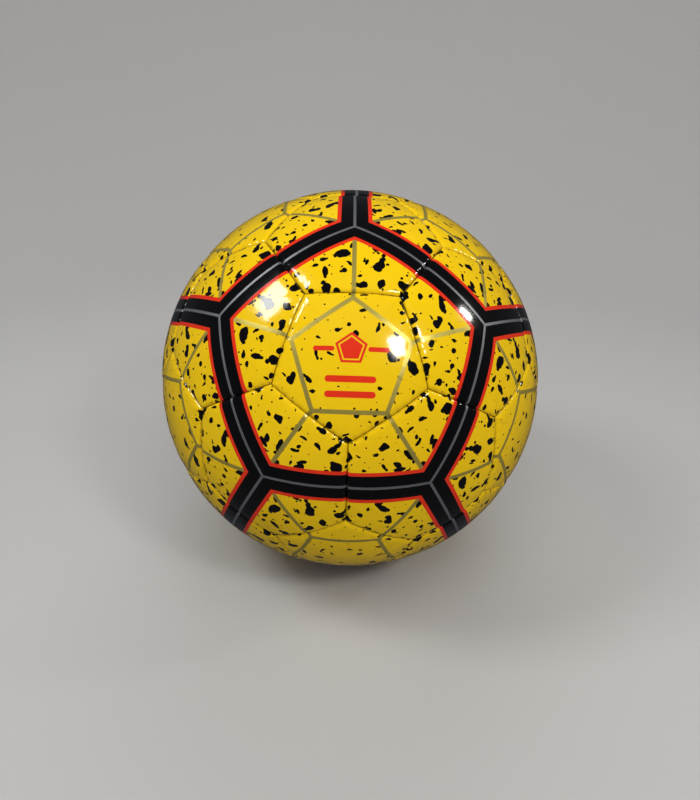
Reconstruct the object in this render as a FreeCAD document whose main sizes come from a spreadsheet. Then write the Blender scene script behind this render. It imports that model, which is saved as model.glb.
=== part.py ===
import FreeCAD, Part
import Sketcher
import math
import os

from FreeCAD import Placement, Rotation, Vector

# Size 4 futsal ball, hand stitched from 12 pentagons and 20 hexagons round a rubber bladder.
# Origin at the ball's centre, +Z up, -Y to the front. Millimetres.

SIZES = {
    "ball_girth": 630.0,          # round the outside
    "skin_wall": 1.2,             # coated cover material
    "seam_gap": 0.1,              # between the turned-in hems of two panels
    "edge_round": 1.6,            # where a panel's face turns down into its hem
    "glue_gap": 0.05,             # between layers that are glued together
    "foam_wall": 2.0,
    "lining_wall": 1.0,
    "thread_width": 0.8,
    "rail_width": 1.0,            # two strands that lie together along the inside of a hem
    "thread_clear": 0.05,         # round a thread in its hole, and between a rail and its hem
    "rail_clear": 0.1,            # between the lining and the rail under it
    "stitch_count": 9.0,          # on one seam
    "corner_clear": 2.2,          # from the last stitch to where the rails of two seams would meet
    "hem_margin": 0.45,           # hem below the rails
    "bladder_clear": 0.2,         # between the hems and the bladder
    "bladder_wall": 0.9,
    "neck_width": 10.4,           # of the valve housing where it goes through the cover
    "neck_clear": 0.2,            # round the neck in the cover, the foam and the lining
    "mouth_depth": 0.3,           # from the ball's surface to the neck's end
    "flange_width": 26.0,
    "flange_wall": 1.3,
    "tube_width": 9.2,            # of the valve housing inside the bladder
    "tube_length": 17.5,          # below the bladder's outside
    "core_width": 4.8,
    "core_clear": 0.05,           # round the core in its housing
    "core_length": 19.0,          # below the head
    "head_width": 6.8,
    "head_wall": 2.2,
    "head_depth": 0.5,            # from the neck's end to the head's top
    "seat_clear": 0.1,            # under the head
    "needle_bore": 2.0,
    "needle_depth": 14.0,
    "slit_length": 1.8,
    "slit_width": 0.1,
    "ring_width": 36.0,           # reinforcing ring inside the bladder
    "ring_wall": 0.6,
    "weight_width": 30.0,         # balance patch opposite the valve
    "weight_wall": 1.3,
    "felt_width": 12.0,
    "felt_wall": 3.0,
    "felt_arc": 110.0,            # degrees of the bladder that one strip covers
}
FELT_COUNT = 6

# Radii of the layers from the ball's surface inwards, as expressions on the sheet.
BALL = "(Sizes.ball_girth / (2 * pi))"
SKIN_LOW = f"({BALL} - Sizes.skin_wall)"
FOAM_TOP = f"({SKIN_LOW} - Sizes.glue_gap)"
FOAM_LOW = f"({FOAM_TOP} - Sizes.foam_wall)"
LINING_TOP = f"({FOAM_LOW} - Sizes.glue_gap)"
LINING_LOW = f"({LINING_TOP} - Sizes.lining_wall)"
STITCH_LINE = f"({LINING_LOW} - Sizes.rail_clear - Sizes.rail_width / 2)"
HEM_LOW = f"({STITCH_LINE} - Sizes.rail_width / 2 - Sizes.hem_margin)"
BLADDER = f"({HEM_LOW} - Sizes.bladder_clear)"
BLADDER_LOW = f"({BLADDER} - Sizes.bladder_wall)"

# Distances from the middle plane of a seam.
HEM_FACE = "(Sizes.seam_gap / 2)"
HEM_BACK = f"({HEM_FACE} + Sizes.skin_wall)"
LAYER_EDGE = f"({HEM_BACK} + Sizes.glue_gap)"
RAIL_LINE = f"({HEM_BACK} + Sizes.thread_clear + Sizes.rail_width / 2)"

# Heights on the valve's axis.
NECK_TOP = f"({BALL} - Sizes.mouth_depth)"
HEAD_TOP = f"({NECK_TOP} - Sizes.head_depth)"
HEAD_LOW = f"({HEAD_TOP} - Sizes.head_wall)"
CORE_LOW = f"({HEAD_LOW} - Sizes.core_length)"
TUBE_LOW = f"({BLADDER} - Sizes.tube_length)"
FLANGE_LOW = f"({BLADDER} + Sizes.glue_gap)"
FLANGE_TOP = f"({FLANGE_LOW} + Sizes.flange_wall)"

doc = FreeCAD.newDocument("futsal_ball")
pieces = []


def make_sheet():
    made = doc.addObject("Spreadsheet::Sheet", "Sizes")
    for row, (name, value) in enumerate(SIZES.items(), 1):
        made.set(f"A{row}", name)
        made.set(f"B{row}", str(value))
        made.setAlias(f"B{row}", name)
    doc.recompute()
    return made


sheet = make_sheet()


def unit(vector):
    return Vector(vector).normalize()


def directions(*bases):
    """Unit vectors made from the bases by every change of sign and every turn of the coordinates."""
    found = []
    for base in bases:
        for signs in range(8):
            x, y, z = [value * (1 - 2 * (signs >> bit & 1)) for bit, value in enumerate(base)]
            for turned in (Vector(x, y, z), Vector(z, x, y), Vector(y, z, x)):
                way = unit(turned)
                if all((way - other).Length > 0.001 for other in found):
                    found.append(way)
    return sorted(found, key=lambda way: (-round(way.z, 3), math.atan2(way.x, -way.y)))


def degrees_between(first, second):
    return math.degrees(first.getAngle(second))


# The truncated icosahedron: pentagons on an icosahedron's corners, hexagons on its faces.
PENTAGON_SIDES = 5
HEXAGON_SIDES = 6
GOLDEN = (1 + math.sqrt(5)) / 2
PENTAGONS = directions((0, GOLDEN, 1))
HEXAGONS = directions((1, 1, 1), (1 / GOLDEN, GOLDEN, 0))
EMBLEM_AXIS = unit(Vector(0, -GOLDEN, 1))
VALVE_AXIS = unit(Vector(-1, 1, 1))
WEIGHT_AXIS = -VALVE_AXIS

# Panels meet three at a time, at two points on each of the icosahedron's edges.
EDGE_ANGLE = math.degrees(math.acos(1 / math.sqrt(5)))
CORNERS = [
    unit(near * 2 + far)
    for near in PENTAGONS
    for far in PENTAGONS
    if abs(degrees_between(near, far) - EDGE_ANGLE) < 0.1
]
SEAM_ANGLE = min(degrees_between(CORNERS[0], corner) for corner in CORNERS[1:])
SEAMS = [
    (first, second)
    for index, first in enumerate(CORNERS)
    for second in CORNERS[index + 1:]
    if degrees_between(first, second) < SEAM_ANGLE + 0.1
]


def tilt_of(sides):
    """Degrees from a panel's axis to the middle of its side, which all panels have SEAM_ANGLE long."""
    return math.degrees(math.asin(math.tan(math.radians(SEAM_ANGLE / 2)) / math.tan(math.pi / sides)))


# Half the angle that the stitches of one seam take, as seen from the ball's centre.
CORNER_MITRE = 1 / math.tan(math.radians(54))
STITCH_HALF = (
    f"({SEAM_ANGLE / 2} * 1 deg"
    f" - asin((Sizes.corner_clear + {CORNER_MITRE} * {RAIL_LINE}) / {STITCH_LINE}))"
)
RAIL_HALF = f"({STITCH_HALF} + asin(Sizes.rail_width / {STITCH_LINE}))"


def facing(axis, beside):
    """Turns a piece's own +Z to axis and its +X towards beside."""
    across = beside - axis * beside.dot(axis)
    return Placement(Vector(), Rotation(across, Vector(), axis, "ZXY"))


def panel_place(axis, others):
    """Puts a panel's first side against the nearest of the panels of the other kind."""
    return facing(axis, max(others, key=axis.dot))


def bind(item, expressions):
    for name, expression in expressions.items():
        item.setExpression(name, expression)


def origin_part(body, role):
    return next(item for item in body.Origin.OriginFeatures if item.Role == role)


def feature(body, kind, name, expressions=None):
    made = body.newObject(f"PartDesign::{kind}", name)
    bind(made, expressions or {})
    body.Tip = made
    return made


def primitive(kind, name, expressions):
    made = doc.addObject(f"Part::{kind}", name)
    bind(made, expressions)
    return made


def joined(kind, name, base, tool):
    made = doc.addObject(f"Part::{kind}", name)
    made.Base = base
    made.Tool = tool
    return made


def group(name, members):
    made = doc.addObject("Part::Compound", name)
    made.Links = members
    return made


def link(source, name, place):
    made = doc.addObject("App::Link", name)
    made.LinkedObject = source
    made.LinkPlacement = place
    return made


def keep(item, name):
    """Makes an item one of the ball's sub-parts."""
    item.Label = name
    pieces.append(item)
    return item


def sketch_on(body, role, name, tilt=0.0):
    sketch = body.newObject("Sketcher::SketchObject", name)
    sketch.AttachmentSupport = (origin_part(body, role), [""])
    sketch.MapMode = "FlatFace"
    sketch.AttachmentOffset = Placement(Vector(), Rotation(Vector(1, 0, 0), tilt))
    return sketch


def circle(sketch, radius, across, up):
    """A circle whose centre is across and up from the sketch's origin."""
    index = sketch.addGeometry(Part.Circle(Vector(1, 1, 0), Vector(0, 0, 1), 1))
    for kind, value in (("Radius", radius), ("DistanceX", across), ("DistanceY", up)):
        ends = (index, 1) if kind == "Radius" else (-1, 1, index, 3, 1)
        number = sketch.addConstraint(Sketcher.Constraint(kind, *ends))
        sketch.renameConstraint(number, f"{kind}{index}")
        sketch.setExpression(f"Constraints.{kind}{index}", value)
    return index


def square(sketch, half):
    """A square round the sketch's origin, half wide each way."""
    corners = [Vector(-1, -1), Vector(1, -1), Vector(1, 1), Vector(-1, 1)]
    for index, corner in enumerate(corners):
        sketch.addGeometry(Part.LineSegment(corner, corners[(index + 1) % 4]))
    for index in range(4):
        sketch.addConstraint(Sketcher.Constraint("Coincident", index, 2, (index + 1) % 4, 1))
        sketch.addConstraint(Sketcher.Constraint("Vertical" if index % 2 else "Horizontal", index))
    for kind, name in (("DistanceX", "right"), ("DistanceY", "top")):
        number = sketch.addConstraint(Sketcher.Constraint(kind, -1, 1, 1, 2, 1))
        sketch.renameConstraint(number, name)
        sketch.setExpression(f"Constraints.{name}", half)
    sketch.addConstraint(Sketcher.Constraint("Symmetric", 0, 1, 1, 2, -1, 1))


# Panels. Each is made round its own +Z, with the middle of its first side towards +X.
# The poles and the seam line of each sphere are turned away from the panel.
POLES_ASIDE = Placement(Vector(), Rotation(Vector(1, 0, 0), 90))


def tile(name, sides, high, low, edge):
    """A piece of a spherical shell with straight sides, each edge away from its seam's middle plane."""
    tilt = tilt_of(sides)
    body = doc.addObject("PartDesign::Body", name)
    outer = feature(body, "AdditiveSphere", f"{name}_outer", {"Radius": high})
    inner = feature(body, "SubtractiveSphere", f"{name}_inner", {"Radius": low})
    for ball in (outer, inner):
        ball.Placement = POLES_ASIDE
    sketch = sketch_on(body, "YZ_Plane", f"{name}_side_sketch", tilt)
    bind(sketch, {
        "AttachmentOffset.Base.y": f"{edge} * sin({tilt} * 1 deg)",
        "AttachmentOffset.Base.z": f"-{edge} * cos({tilt} * 1 deg)",
    })
    square(sketch, f"1.2 * {BALL}")
    side = feature(body, "Pocket", f"{name}_side", {"Length": f"2.4 * {BALL}"})
    side.Profile = sketch
    side.Reversed = True
    around = feature(body, "PolarPattern", f"{name}_sides")
    around.Originals = [side]
    around.Axis = (origin_part(body, "Z_Axis"), [""])
    around.Angle = 360
    around.Occurrences = sides
    body.Tip = around
    doc.recompute()
    return body


def round_over(body, name):
    """Rounds every edge but those at the hem's inner end."""
    base = body.Tip
    low = float(sheet.evalExpression(HEM_LOW.replace("Sizes.", ""))) + 0.01
    middles = [edge.valueAt((edge.FirstParameter + edge.LastParameter) / 2) for edge in base.Shape.Edges]
    edges = [f"Edge{index}" for index, middle in enumerate(middles, 1) if middle.Length > low]
    rounded = feature(body, "Fillet", name, {"Radius": "Sizes.edge_round"})
    rounded.Base = (base, edges)


def stitch_point(sketch, width):
    """The first stitch of a seam, on a sketch that lies in the seam's middle plane."""
    circle(sketch, f"{width} / 2", f"-{STITCH_LINE} * sin({STITCH_HALF})", f"{STITCH_LINE} * cos({STITCH_HALF})")


def stitch_steps(sketch, steps):
    """Sets a pattern to repeat the first stitch along the whole seam."""
    steps.Axis = (sketch, ["N_Axis"])
    steps.Reversed = True
    bind(steps, {"Angle": f"2 * {STITCH_HALF}", "Occurrences": "Sizes.stitch_count"})


def cover(name, sides):
    """A panel of cover material with its hems turned in, and a stitch hole for every stitch."""
    body = tile(name, sides, BALL, HEM_LOW, HEM_FACE)
    round_over(body, f"{name}_rounding")
    sketch = sketch_on(body, "YZ_Plane", f"{name}_hole_sketch", tilt_of(sides))
    stitch_point(sketch, "(Sizes.thread_width + 2 * Sizes.thread_clear)")
    hole = feature(body, "Pocket", f"{name}_hole", {"Length": f"{HEM_BACK} + Sizes.rail_width / 2"})
    hole.Profile = sketch
    holes = feature(body, "MultiTransform", f"{name}_holes")
    holes.Originals = [hole]
    steps = feature(body, "PolarPattern", f"{name}_hole_steps")
    stitch_steps(sketch, steps)
    around = feature(body, "PolarPattern", f"{name}_hole_sides")
    around.Axis = (origin_part(body, "Z_Axis"), [""])
    around.Angle = 360
    around.Occurrences = sides
    holes.Transformations = [steps, around]
    room = tile(f"{name}_room", sides, SKIN_LOW, f"0.8 * {BALL}", HEM_BACK)
    hollow = feature(body, "Boolean", f"{name}_hollow")
    hollow.Type = "Cut"
    hollow.setObjects([room])
    body.Tip = hollow
    doc.recompute()
    return body


def copy_of(source, name, place):
    body = doc.addObject("PartDesign::Body", name)
    feature(body, "FeatureBase", f"{name}_copy").BaseFeature = source
    body.Placement = place
    return body


def open_for_neck(body):
    """The hole in a layer that the valve housing's neck goes through."""
    opening = {"Radius": "Sizes.neck_width / 2 + Sizes.neck_clear", "Height": f"1.2 * {BALL}"}
    feature(body, "SubtractiveCylinder", f"{body.Name}_opening", opening)


def make_panels(kind, sides, axes, others):
    """The covers, foam pads and lining cloths of all pentagons, or of all hexagons."""
    master = cover(f"{kind}_pattern", sides)
    pad = tile(f"{kind}_pad", sides, FOAM_TOP, FOAM_LOW, LAYER_EDGE)
    cloth = tile(f"{kind}_cloth", sides, LINING_TOP, LINING_LOW, LAYER_EDGE)
    pads = []
    cloths = []
    for number, axis in enumerate(axes, 1):
        place = panel_place(axis, others)
        name = f"{kind}_cover_{number:02d}"
        if axis.isEqual(EMBLEM_AXIS, 0.001):
            name = f"{kind}_cover_emblem"
        if axis.isEqual(VALVE_AXIS, 0.001):
            name = f"{kind}_cover_valve"
        panel = keep(copy_of(master, name, place), name)
        if axis.isEqual(VALVE_AXIS, 0.001):
            open_for_neck(panel)
            for layer, label in ((pad, "valve_foam_pad"), (cloth, "valve_lining_cloth")):
                open_for_neck(keep(copy_of(layer, label, place), label))
        else:
            pads.append(link(pad, f"{kind}_pad_{number:02d}", place))
            cloths.append(link(cloth, f"{kind}_cloth_{number:02d}", place))
    keep(group(f"{kind}_foam_pads", pads), f"{kind}_foam_pads")
    keep(group(f"{kind}_lining_cloths", cloths), f"{kind}_lining_cloths")


# Seams. A seam is made with its middle on +Z and its length along Y.

def seam_thread():
    """Stitches through both hems, and the two strands that join them along the inside of each hem."""
    body = doc.addObject("PartDesign::Body", "seam_thread")
    middle = sketch_on(body, "YZ_Plane", "stitch_sketch")
    stitch_point(middle, "Sizes.thread_width")
    stitch = feature(body, "Pad", "first_stitch", {"Length": f"2 * {RAIL_LINE}"})
    stitch.Profile = middle
    stitch.Midplane = True
    across = sketch_on(body, "XZ_Plane", "rail_sketch")
    for side in ("", "-"):
        circle(across, "Sizes.rail_width / 2", f"{side}{RAIL_LINE}", STITCH_LINE)
    rails = feature(body, "Revolution", "rails", {"Angle": f"2 * {RAIL_HALF}"})
    rails.Profile = across
    rails.ReferenceAxis = (across, ["H_Axis"])
    rails.Midplane = True
    doc.recompute()
    stitches = feature(body, "PolarPattern", "stitches")
    stitches.Originals = [stitch]
    stitch_steps(middle, stitches)
    body.Tip = stitches
    return body


def seam_kind(middle):
    """Hexagon seams lie between two hexagons. The others are told apart by the half of the ball they are in."""
    nearest = max(PENTAGONS + HEXAGONS, key=middle.dot)
    if nearest in HEXAGONS:
        return "hexagon"
    return "lower_pentagon" if middle.z < -0.001 else "upper_pentagon"


def make_seams():
    master = seam_thread()
    threads = {}
    for number, (first, second) in enumerate(SEAMS, 1):
        middle = unit(first + second)
        across = (second - first).cross(middle)
        thread = link(master, f"seam_{number:02d}", facing(middle, across))
        threads.setdefault(seam_kind(middle), []).append(thread)
    for kind, members in threads.items():
        keep(group(f"{kind}_seams", members), f"{kind}_seam_threads")


# Bladder and valve. The valve's pieces are made along +Z from the ball's centre.

def dished_disc(name, width, high, low):
    """A round patch that follows the ball, with straight sides."""
    disc = primitive("Cylinder", f"{name}_disc", {"Radius": f"{width} / 2", "Height": BALL})
    outer = primitive("Sphere", f"{name}_outer", {"Radius": high})
    inner = primitive("Sphere", f"{name}_inner", {"Radius": low})
    domed = joined("Common", f"{name}_domed", disc, outer)
    return joined("Cut", f"{name}_dished", domed, inner)


def rod(name, width, low, high):
    """A round bar on the valve's axis."""
    return primitive("Cylinder", name, {
        "Radius": f"{width} / 2",
        "Height": f"{high} - {low}",
        "Placement.Base.z": low,
    })


def placed(item, axis):
    place = panel_place(axis, PENTAGONS)
    item.Placement = place
    return item


def make_bladder():
    outer = primitive("Sphere", "bladder_outer", {"Radius": BLADDER})
    inner = primitive("Sphere", "bladder_inner", {"Radius": BLADDER_LOW})
    skin = joined("Cut", "bladder_skin", outer, inner)
    opening = rod("bladder_opening", "(Sizes.tube_width + 2 * Sizes.glue_gap)", "0", BALL)
    keep(placed(joined("Cut", "bladder", skin, opening), VALVE_AXIS), "bladder")


def make_valve():
    flange = dished_disc("flange", "Sizes.flange_width", FLANGE_TOP, FLANGE_LOW)
    neck = rod("neck", "Sizes.neck_width", FLANGE_LOW, NECK_TOP)
    tube = rod("tube", "Sizes.tube_width", TUBE_LOW, FLANGE_TOP)
    moulded = doc.addObject("Part::MultiFuse", "housing_moulded")
    moulded.Shapes = [flange, neck, tube]
    bore = rod("core_bore", "(Sizes.core_width + 2 * Sizes.core_clear)", f"({TUBE_LOW} - 1)", NECK_TOP)
    seat = rod("head_seat", "(Sizes.head_width + 2 * Sizes.core_clear)", f"({HEAD_LOW} - Sizes.seat_clear)", BALL)
    bored = joined("Cut", "housing_bored", moulded, bore)
    keep(placed(joined("Cut", "valve_housing", bored, seat), VALVE_AXIS), "valve_housing")
    make_core()
    ring_high = f"({BLADDER_LOW} - Sizes.glue_gap)"
    ring = dished_disc("ring", "Sizes.ring_width", ring_high, f"({ring_high} - Sizes.ring_wall)")
    hole = rod("ring_hole", "(Sizes.tube_width + 2 * Sizes.glue_gap)", "0", BALL)
    keep(placed(joined("Cut", "valve_reinforcing_ring", ring, hole), VALVE_AXIS), "valve_reinforcing_ring")


def make_core():
    """A rubber plug with a bore for the inflating needle, and a slit that closes behind the needle."""
    body = doc.addObject("PartDesign::Body", "valve_core")
    needle_low = f"({HEAD_TOP} - Sizes.needle_depth)"
    heights = {
        "stem": ("AdditiveCylinder", "Sizes.core_width", CORE_LOW, HEAD_LOW),
        "head": ("AdditiveCylinder", "Sizes.head_width", HEAD_LOW, HEAD_TOP),
        "needle_bore": ("SubtractiveCylinder", "Sizes.needle_bore", needle_low, HEAD_TOP),
    }
    for name, (kind, width, low, high) in heights.items():
        feature(body, kind, f"core_{name}", {
            "Radius": f"{width} / 2",
            "Height": f"{high} - {low}",
            "Placement.Base.z": low,
        })
    feature(body, "SubtractiveBox", "core_slit", {
        "Length": "Sizes.slit_length",
        "Width": "Sizes.slit_width",
        "Height": f"{needle_low} - {CORE_LOW}",
        "Placement.Base.x": "-Sizes.slit_length / 2",
        "Placement.Base.y": "-Sizes.slit_width / 2",
        "Placement.Base.z": CORE_LOW,
    })
    keep(placed(body, VALVE_AXIS), "valve_core")


def make_weight():
    high = f"({FLANGE_LOW} + Sizes.weight_wall)"
    keep(placed(dished_disc("weight", "Sizes.weight_width", high, FLANGE_LOW), WEIGHT_AXIS), "balance_patch")


def make_felt():
    """Strips inside the bladder, from near the valve to near the balance patch, that deaden the bounce."""
    body = doc.addObject("PartDesign::Body", "felt")
    high = f"({BLADDER_LOW} - Sizes.glue_gap)"
    low = f"({high} - Sizes.felt_wall)"
    reach = f"asin(Sizes.felt_width / 2 / {high})"
    band = {"Radius": high, "Angle1": f"-{reach}", "Angle2": reach, "Angle3": "Sizes.felt_arc"}
    feature(body, "AdditiveSphere", "felt_outer", band)
    feature(body, "SubtractiveSphere", "felt_inner", {"Radius": low})
    valve = panel_place(VALVE_AXIS, PENTAGONS)
    strips = []
    for number in range(FELT_COUNT):
        turn = Rotation(Vector(0, 0, 1), 360 * number / FELT_COUNT)
        stand = Rotation(Vector(1, 0, 0), 90)
        centre = Rotation(Vector(0, 0, 1), -SIZES["felt_arc"] / 2)
        place = Placement(Vector(), valve.Rotation * turn * stand * centre)
        strips.append(link(body, f"felt_{number + 1}", place))
    keep(group("felt_strips", strips), "bladder_felt_strips")


def check(items):
    """Stops the build if anything failed."""
    doc.recompute()
    for item in doc.Objects:
        if "Invalid" in item.State or "Error" in item.State:
            raise RuntimeError(f"{item.Name} failed: {item.State}")
    for item in items:
        shape = item.Shape
        if shape.isNull() or not shape.isValid() or not shape.Solids:
            raise RuntimeError(f"{item.Label} has no valid solid")


def write(items):
    os.makedirs("parts", exist_ok=True)
    for item in items:
        item.Shape.exportStep(f"parts/{item.Label}.step")
        print(item.Label, len(item.Shape.Solids), round(item.Shape.Volume, 1))


def main():
    make_panels("pentagon", PENTAGON_SIDES, PENTAGONS, HEXAGONS)
    make_panels("hexagon", HEXAGON_SIDES, HEXAGONS, PENTAGONS)
    make_seams()
    make_bladder()
    make_valve()
    make_weight()
    make_felt()
    check(pieces)
    write(pieces)


main()
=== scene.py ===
import math

import bmesh
import bpy
import numpy as np
from mathutils import Matrix, Vector


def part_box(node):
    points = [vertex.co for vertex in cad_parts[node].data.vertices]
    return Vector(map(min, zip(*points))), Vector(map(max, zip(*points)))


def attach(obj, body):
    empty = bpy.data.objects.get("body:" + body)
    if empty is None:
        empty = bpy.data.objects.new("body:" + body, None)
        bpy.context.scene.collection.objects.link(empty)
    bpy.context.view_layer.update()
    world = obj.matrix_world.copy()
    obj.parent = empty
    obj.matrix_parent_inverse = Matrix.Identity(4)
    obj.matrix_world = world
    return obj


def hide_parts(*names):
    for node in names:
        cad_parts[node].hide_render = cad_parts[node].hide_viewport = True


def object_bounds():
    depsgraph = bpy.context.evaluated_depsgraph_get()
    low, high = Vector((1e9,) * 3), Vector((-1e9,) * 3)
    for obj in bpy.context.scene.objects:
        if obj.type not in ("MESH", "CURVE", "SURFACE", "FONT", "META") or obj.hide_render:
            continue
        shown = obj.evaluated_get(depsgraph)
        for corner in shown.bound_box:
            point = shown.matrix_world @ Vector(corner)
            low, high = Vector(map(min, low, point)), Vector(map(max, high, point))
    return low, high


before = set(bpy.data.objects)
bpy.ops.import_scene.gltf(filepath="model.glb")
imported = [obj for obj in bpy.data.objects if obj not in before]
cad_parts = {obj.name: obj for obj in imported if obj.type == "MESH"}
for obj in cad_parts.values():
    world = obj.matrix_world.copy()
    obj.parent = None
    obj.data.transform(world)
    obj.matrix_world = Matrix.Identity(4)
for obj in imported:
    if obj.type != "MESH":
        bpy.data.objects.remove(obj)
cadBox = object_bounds()
ballRadius = (cadBox[1][0] - cadBox[0][0]) / 2
mm = 0.001
golden = (1 + math.sqrt(5)) / 2
print("frame loaded, ball radius", round(ballRadius / mm, 2), "mm")

camera = {"azimuth": 0.0, "elevation": 27.4, "distance": 3.58, "roll": 1.77, "lens": 29.1, "film": 36.0,
          "lower": 0.0275}


def addThing(name, data):
    thing = bpy.data.objects.new(name, data)
    bpy.context.scene.collection.objects.link(thing)
    return thing


def lookDirection(azimuth, elevation):
    a = math.radians(azimuth)
    e = math.radians(elevation)
    return Vector((math.sin(a) * math.cos(e), -math.cos(a) * math.cos(e), math.sin(e)))


def aimAt(thing, target):
    thing.rotation_euler = (thing.location - target).to_track_quat("Z", "Y").to_euler()


def addCamera():
    data = bpy.data.cameras.new("ballCamera")
    data.lens = camera["lens"]
    data.sensor_width = camera["film"]
    data.shift_y = -camera["lower"]
    data.clip_start = 0.01
    thing = addThing("ballCamera", data)
    thing.location = lookDirection(camera["azimuth"], camera["elevation"]) * camera["distance"] * ballRadius
    aimAt(thing, Vector())
    thing.rotation_euler.rotate_axis("Z", math.radians(camera["roll"]))
    bpy.context.scene.camera = thing


addCamera()
bpy.context.scene.view_settings.view_transform = "Standard"


# node helpers: a Wire is a socket that can be added, multiplied and so on

class Wire:
    def __init__(self, tree, socket):
        self.tree = tree
        self.socket = socket

    def math(self, operation, *others, clamp=False):
        node = self.tree.nodes.new("ShaderNodeMath")
        node.operation = operation
        node.use_clamp = clamp
        for place, value in zip(node.inputs, (self,) + others):
            plug(self.tree, place, value)
        return Wire(self.tree, node.outputs[0])

    def __add__(self, other):
        return self.math("ADD", other)

    def __sub__(self, other):
        return self.math("SUBTRACT", other)

    def __rsub__(self, other):
        return (self * -1) + other

    def __mul__(self, other):
        return self.math("MULTIPLY", other)

    def __truediv__(self, other):
        return self.math("DIVIDE", other)

    def __rtruediv__(self, other):
        return self.math("POWER", -1.0) * other

    __radd__ = __add__
    __rmul__ = __mul__


def plug(tree, place, value):
    if isinstance(value, Wire):
        tree.links.new(value.socket, place)
    elif isinstance(value, bpy.types.Node):
        tree.links.new(value.outputs[0], place)
    else:
        place.default_value = value


def below(value, edge, soft=0.06):
    return ((edge - value) / soft + 0.5).math("ADD", 0.0, clamp=True)


def smaller(first, second):
    return first.math("MINIMUM", second)


def larger(first, second):
    return first.math("MAXIMUM", second)


def addNode(tree, kind, settings=None, **plugs):
    node = tree.nodes.new(kind)
    for name, value in (settings or {}).items():
        setattr(node, name, value)
    for name, value in plugs.items():
        plug(tree, node.inputs[name.replace("_", " ")], value)
    return node


def outOf(tree, node, name):
    return Wire(tree, node.outputs[name])


def mixColour(tree, amount, first, second):
    node = tree.nodes.new("ShaderNodeMix")
    node.data_type = "RGBA"
    for place, value in ((node.inputs[0], amount), (node.inputs[6], first), (node.inputs[7], second)):
        plug(tree, place, value)
    return Wire(tree, node.outputs[2])


def noise(tree, where, scale, detail=2.0, roughness=0.5):
    node = addNode(tree, "ShaderNodeTexNoise", Vector=where, Scale=scale, Detail=detail, Roughness=roughness)
    return outOf(tree, node, "Fac")


def flatNoise(tree, where, scale):
    return addNode(tree, "ShaderNodeTexNoise", {"noise_dimensions": "2D"},
                   Vector=where, Scale=scale, Detail=0.0)


def lengthOf(first, second):
    return (first * first + second * second).math("SQRT")


def vectorMath(tree, operation, first, second):
    node = addNode(tree, "ShaderNodeVectorMath", {"operation": operation})
    plug(tree, node.inputs[0], first)
    plug(tree, node.inputs[1], second)
    return Wire(tree, node.outputs[0])


def scaled(tree, vector, amount):
    node = addNode(tree, "ShaderNodeVectorMath", {"operation": "SCALE"}, Scale=amount)
    plug(tree, node.inputs[0], vector)
    return Wire(tree, node.outputs[0])


def combined(tree, x=0.0, y=0.0, z=0.0):
    return Wire(tree, addNode(tree, "ShaderNodeCombineXYZ", X=x, Y=y, Z=z).outputs[0])


def parts(tree, vector):
    node = addNode(tree, "ShaderNodeSeparateXYZ", Vector=vector)
    return [Wire(tree, place) for place in node.outputs]


def objectPlace(tree):
    return outOf(tree, addNode(tree, "ShaderNodeTexCoord"), "Object")


def surfaceValue(tree, name):
    return outOf(tree, addNode(tree, "ShaderNodeAttribute", {"attribute_name": name}), "Fac")


def newMaterial(name):
    material = bpy.data.materials.new(name)
    material.use_nodes = True
    tree = material.node_tree
    shader = tree.nodes["Principled BSDF"]
    return material, tree, shader


def addBump(tree, shader, strength, distance, height):
    bump = addNode(tree, "ShaderNodeBump", Strength=strength, Distance=distance, Height=height)
    tree.links.new(bump.outputs[0], shader.inputs["Normal"])


# where the panels and seams lie: pentagons on an icosahedron's corners, hexagons on its faces

def everyWay(base):
    found = []
    for signs in range(8):
        x, y, z = [value * (1 - 2 * (signs >> bit & 1)) for bit, value in enumerate(base)]
        for turned in ((x, y, z), (z, x, y), (y, z, x)):
            way = Vector(turned).normalized()
            if all((way - other).length > 0.001 for other in found):
                found.append(way)
    return found


pentagonAxes = everyWay((0, golden, 1))
hexagonAxes = everyWay((1, 1, 1)) + everyWay((1 / golden, golden, 0))
ballCorners = [(near * 2 + far).normalized() for near in pentagonAxes for far in pentagonAxes
               if abs(near.dot(far) - 1 / math.sqrt(5)) < 0.01]
seamAngle = min(ballCorners[0].angle(corner) for corner in ballCorners[1:])
seams = [(first, second) for index, first in enumerate(ballCorners) for second in ballCorners[index + 1:]
         if first.angle(second) < seamAngle + 0.01]
up = Vector((0, 0, 1))


def turnTo(axis, beside):
    # a frame with its Z on axis and its X towards beside
    across = (beside - axis * beside.dot(axis)).normalized()
    return Matrix((across, axis.cross(across), axis)).transposed()


def nearestWay(place, ways):
    return max(ways, key=place.normalized().dot)


def coverAxis(node, ways):
    low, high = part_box(node)
    return nearestWay(low + high, ways)


# cover panels: a flat pattern of rings laid on the ball, which the puffing tree then shapes

panel = {
    "sidePoints": 64, "faceRings": 30, "crowding": 1.8, "backRings": 5, "hemRings": 3,
    "hemGap": 0.05, "hemDepth": 5.8, "hemTop": 2.4, "skin": 1.2, "behind": 0.1, "reach": 0.38,
    "misprint": 0.5, "misturn": 0.9, "seed": 11,
}
puff = {
    "Seam Depth": 1.25 * mm, "Roll Width": 2.2 * mm, "Soft Dip": 0.50 * mm, "Soft Reach": 6.0 * mm,
    "Stitch Step": 2.375, "Stitch Pull": 0.32 * mm, "Stitch Reach": 1.5 * mm,
    "Wrinkle": 0.85 * mm, "Wrinkle Reach": 3.6 * mm, "Wrinkle Length": 7.0 * mm,
    "Swell": 0.9 * mm, "Swell Reach": 9.0 * mm,
    "Pucker": 0.9 * mm, "Pucker Reach": 5.5 * mm, "Lump": 0.30 * mm, "Seed": 4.0,
}


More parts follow.
